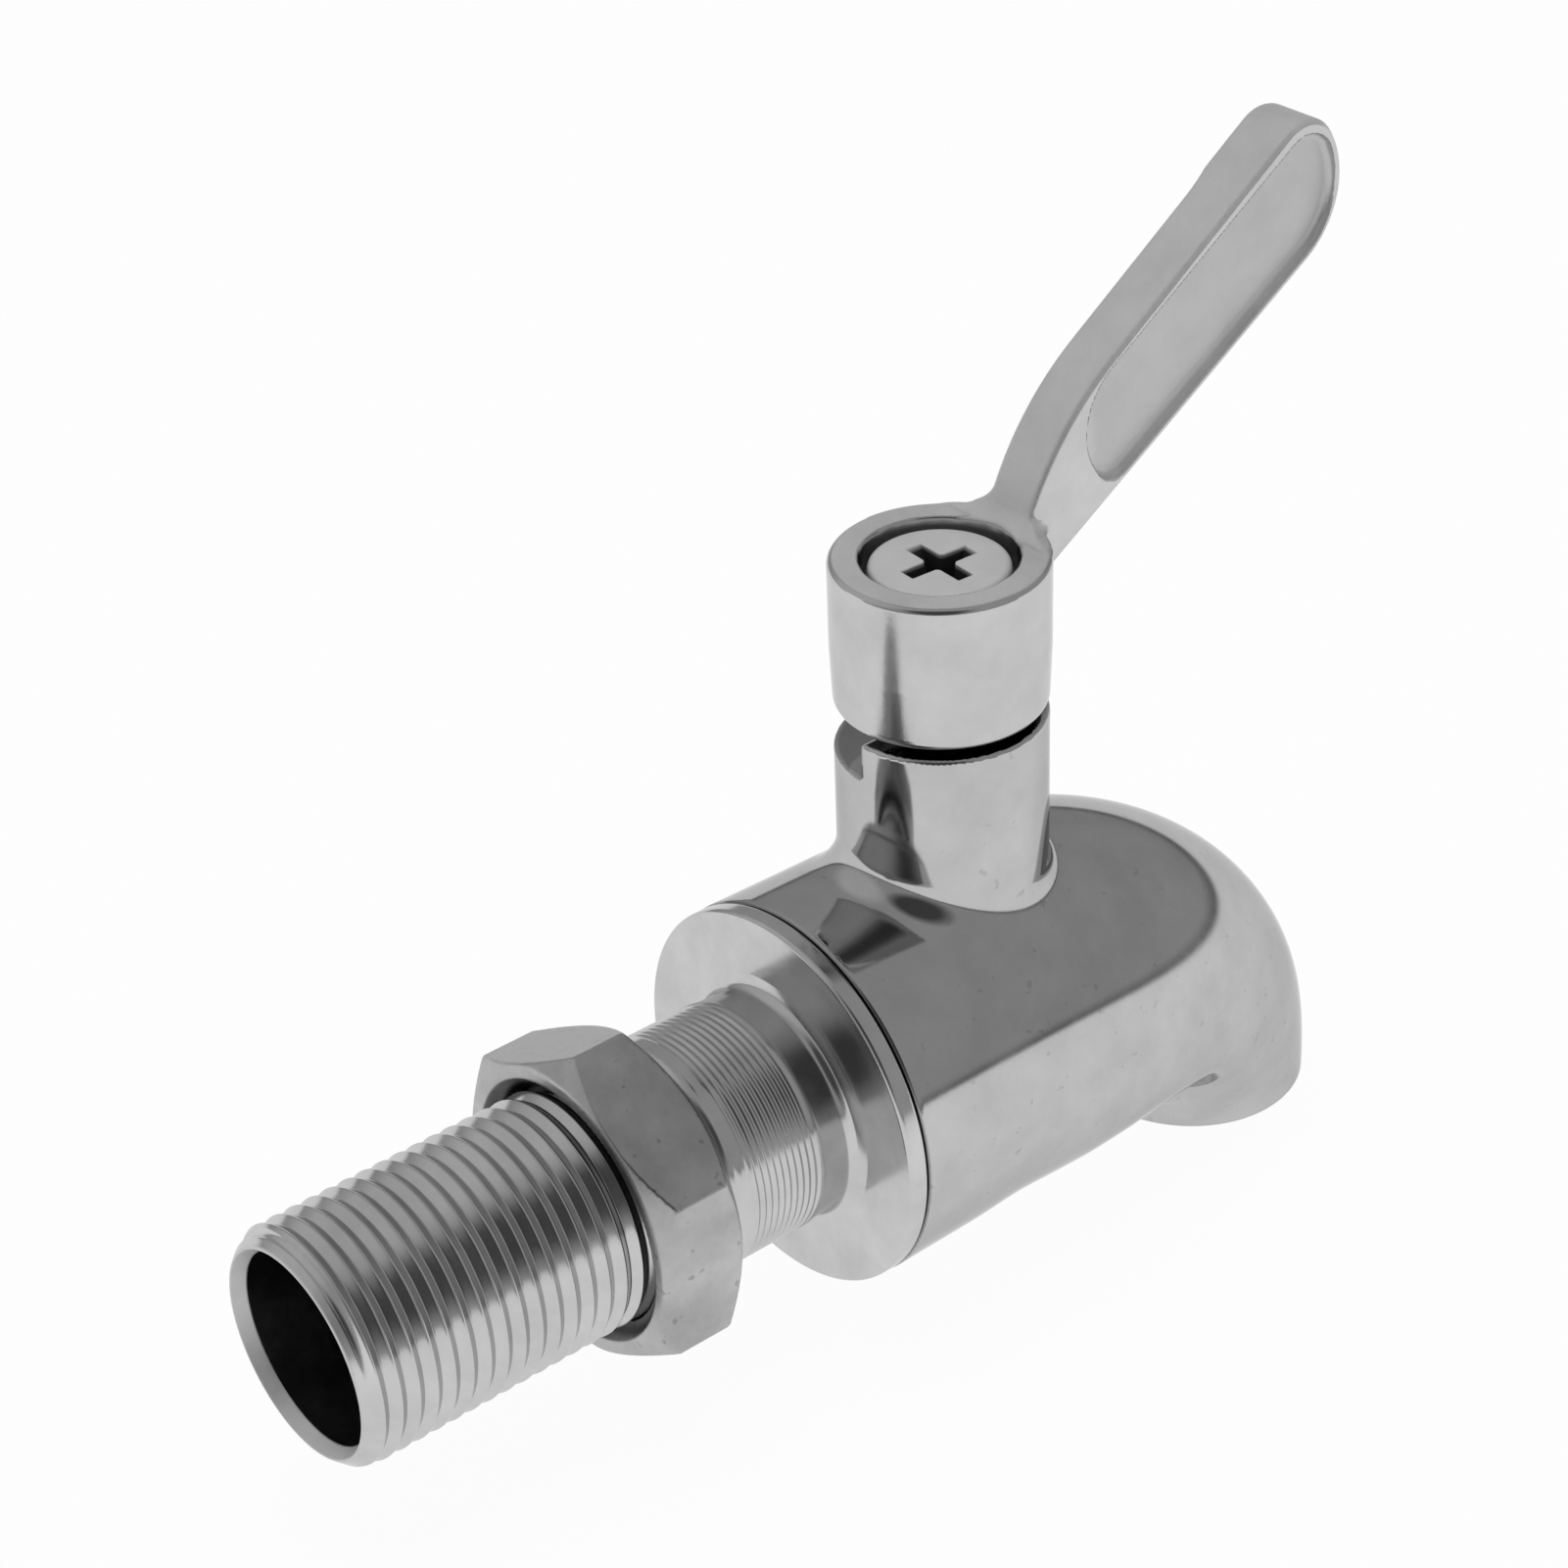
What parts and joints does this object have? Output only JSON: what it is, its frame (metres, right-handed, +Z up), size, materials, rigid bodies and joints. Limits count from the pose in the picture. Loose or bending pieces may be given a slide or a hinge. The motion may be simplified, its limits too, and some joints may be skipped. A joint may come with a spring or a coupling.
{
  "type": "drink dispenser tap",
  "caption": "Stainless ball valve tap for a drink dispenser: threaded shank with flange and lock nut, bent spout, bonnet and raised lever.",
  "frame": {"origin": "middle of the flange face that rests on the outside of the vessel, on the shank axis", "axes": "+X along the shank towards the spout, +Z up along the bonnet; the shank's inlet end is on the -X side"},
  "size_m": [0.0888, 0.0274, 0.0742],
  "materials": {
    "cast_steel": "polished cast stainless steel",
    "turned_steel": "turned stainless steel, bright",
    "nut_steel": "satin stainless steel",
    "handle_steel": "satin cast stainless steel with blasted panels",
    "screw_steel": "satin stainless steel",
    "ball_steel": "mirror polished stainless steel",
    "seat_ptfe": "white PTFE",
    "seal_rubber": "black rubber"
  },
  "bodies": {
    "tap": {"body": "cast_steel", "shank": "turned_steel", "body_seal": "seal_rubber", "inlet_seat": "seat_ptfe", "outlet_seat": "seat_ptfe"},
    "lever": {"handle": "handle_steel", "handle_screw": "screw_steel", "spring_washer": "screw_steel", "stem": "turned_steel", "thrust_washer": "seat_ptfe", "lower_stem_seal": "seal_rubber", "upper_stem_seal": "seal_rubber", "ball": "ball_steel"},
    "nut": {"lock_nut": "nut_steel"}
  },
  "joints": [
    {"name": "lever_turn", "type": "hinge", "parent": "tap", "child": "lever", "pos_m": [0.0152, 0, 0.03], "axis": [0, 0, 1], "range_deg": [0, 90]},
    {"name": "nut_travel", "type": "slide", "parent": "tap", "child": "nut", "axis": [1, 0, 0], "range_m": [-0.0175, 0.0085]}
  ]
}
